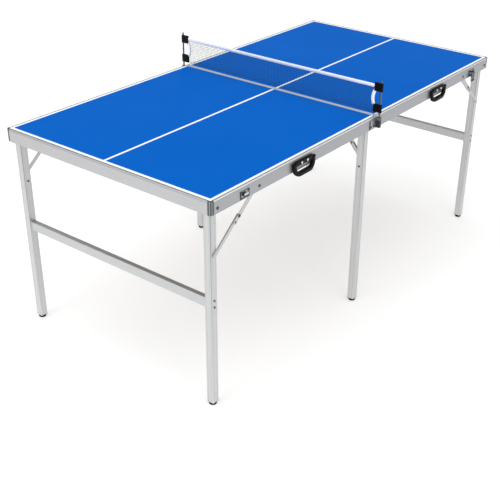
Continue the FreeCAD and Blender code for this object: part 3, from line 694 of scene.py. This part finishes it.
midLegLook = legFinish("middleLegTube", "right_middle_leg")
frontKnee, middleKnee = kneeFinish("front"), kneeFinish("middle")

dress(["left_board", "right_board"], boardLook)
for side in ("left", "right"):
    dress([side + "_front_rail", side + "_back_rail"], shadedSideLook)
    dress([side + "_end_rail"], litEndLook)
    dress([side + "_middle_rail"], seamReflectionLook)
    dress([side + "_crossbar"], barLook)
    dress([side + "_corner_mouldings"], cornerLook, 0.0006)
    dress([side + "_front_leg", side + "_back_leg"], endLegLook)
    dress([side + "_middle_leg"], midLegLook)
    dress([side + "_leg_brackets", side + "_hinge_leaves"], platedLook)
    dress([side + "_frame_rivets", side + "_leg_rivets", side + "_middle_leg_rivet"], rivetLook, 0.0005)
    for place, knee in (("front", frontKnee), ("back", frontKnee), ("middle", middleKnee)):
        dress([f"{side}_{place}_lower_stay"], stayLook, 0.0003)
        dress([f"{side}_{place}_upper_stay"], knee, 0.0003)
    dress([side + "_handle_plate"], handleLook, 0.0012)
dress(["hinge_pins"], rivetLook)
dress(["latch_base"], catchFinish("latchBaseSteel", "latch_base"), 0.0004)
dress(["latch_keeper"], catchFinish("keeperSteel", "latch_keeper"), 0.0004)
dress(["latch_lever"], steelFinish("leverSteel", steel["lever"], 0.25), 0.0004)
dress(["latch_loop"], steelFinish("loopSteel", steel["loop"], 0.22), 0.0004)
dress(["net_post_sockets"], socketFinish(), 0.0005)
dress(["net_posts"], rodLook)
dress(["net_tabs"], tabLook, 0.0005)
print("finishes done")

makeNet(threadFinish(), tapeFinish())
makeFeet(rubberLook)
makeHandles(handleLook)
makePostCaps(rodLook)

studio = {
    "floor": 160.0, "floorDown": 0.0005, "floorColour": (0.6, 0.6, 0.6, 1), "floorGlow": 0.5, "sky": 0.42,
    "ceiling": 1.25, "ceilingWide": 95, "ceilingTilt": -18,
    # name, place, where it points, size and power
    "softboxes": [
        ("keyAbove", (-0.4, 0.2, 4.3), (0, 0, 0.5), 6.0, 60),
        ("leftSide", (-5.0, 0.8, 1.6), (0, 0, 0.4), 2.6, 60),
        ("frontSide", (-2.2, -4.6, 1.4), (-0.6, 0, 0.4), 2.4, 50),
    ],
}


def makeFloor():
    mesh = bmesh.new()
    bmesh.ops.create_grid(mesh, x_segments=1, y_segments=1, size=studio["floor"] / 2)
    data = bpy.data.meshes.new("floor")
    mesh.to_mesh(data)
    mesh.free()
    floor = bpy.data.objects.new("floor", data)
    floor.location.z = -studio["floorDown"]
    bpy.context.collection.objects.link(floor)
    paint = Paint("floorPaint")
    data.materials.append(paint.surface(Base_Color=studio["floorColour"], Roughness=0.9, Specular_IOR_Level=0.1,
                                        Emission_Color=(1, 1, 1, 1), Emission_Strength=studio["floorGlow"]))


def makeSky():
    world = bpy.data.worlds.new("studio")
    world.use_nodes = True
    sky = world.node_tree.nodes["Background"].inputs
    sky["Color"].default_value, sky["Strength"].default_value = (1, 1, 1, 1), studio["sky"]
    bpy.context.scene.world = world


def makeLights():
    for name, place, target, size, power in studio["softboxes"]:
        light = bpy.data.lights.new(name, "AREA")
        light.shape, light.size, light.energy = "SQUARE", size, power
        lamp = bpy.data.objects.new(name, light)
        lamp.location = place
        lamp.rotation_euler = (Vector(target) - Vector(place)).to_track_quat("-Z", "Y").to_euler()
        bpy.context.collection.objects.link(lamp)
    # a weak sun as wide as a ceiling, so that shadows stay soft
    ceiling = bpy.data.lights.new("ceiling", "SUN")
    ceiling.energy, ceiling.angle = studio["ceiling"], math.radians(studio["ceilingWide"])
    lamp = bpy.data.objects.new("ceiling", ceiling)
    lamp.rotation_euler = (0, math.radians(studio["ceilingTilt"]), 0)
    bpy.context.collection.objects.link(lamp)


camera = {
    "place": (-2.7025, -2.0079, 1.9211), "azimuth": -53.563, "elevation": 29.169, "roll": 1.176,
    "lens": 65.62, "shift": (-0.0485, 0.0039),
}


def makeCamera():
    azimuth, elevation = math.radians(camera["azimuth"]), math.radians(camera["elevation"])
    back = Vector((math.sin(azimuth) * math.cos(elevation), -math.cos(azimuth) * math.cos(elevation),
                   math.sin(elevation)))
    right = (-back).cross(Vector((0, 0, 1))).normalized()
    up = right.cross(-back)
    turn = Matrix((right, up, back)).transposed() @ Matrix.Rotation(math.radians(camera["roll"]), 3, "Z")
    data = bpy.data.cameras.new("camera")
    data.lens, data.sensor_width = camera["lens"], 36
    data.shift_x, data.shift_y = camera["shift"]
    data.clip_end = 100
    eye = bpy.data.objects.new("camera", data)
    eye.matrix_world = Matrix.LocRotScale(Vector(camera["place"]), turn, None)
    bpy.context.collection.objects.link(eye)
    bpy.context.scene.camera = eye


makeFloor()
makeSky()
makeLights()
makeCamera()
bpy.context.scene.view_settings.view_transform = "Standard"
print("studio done")
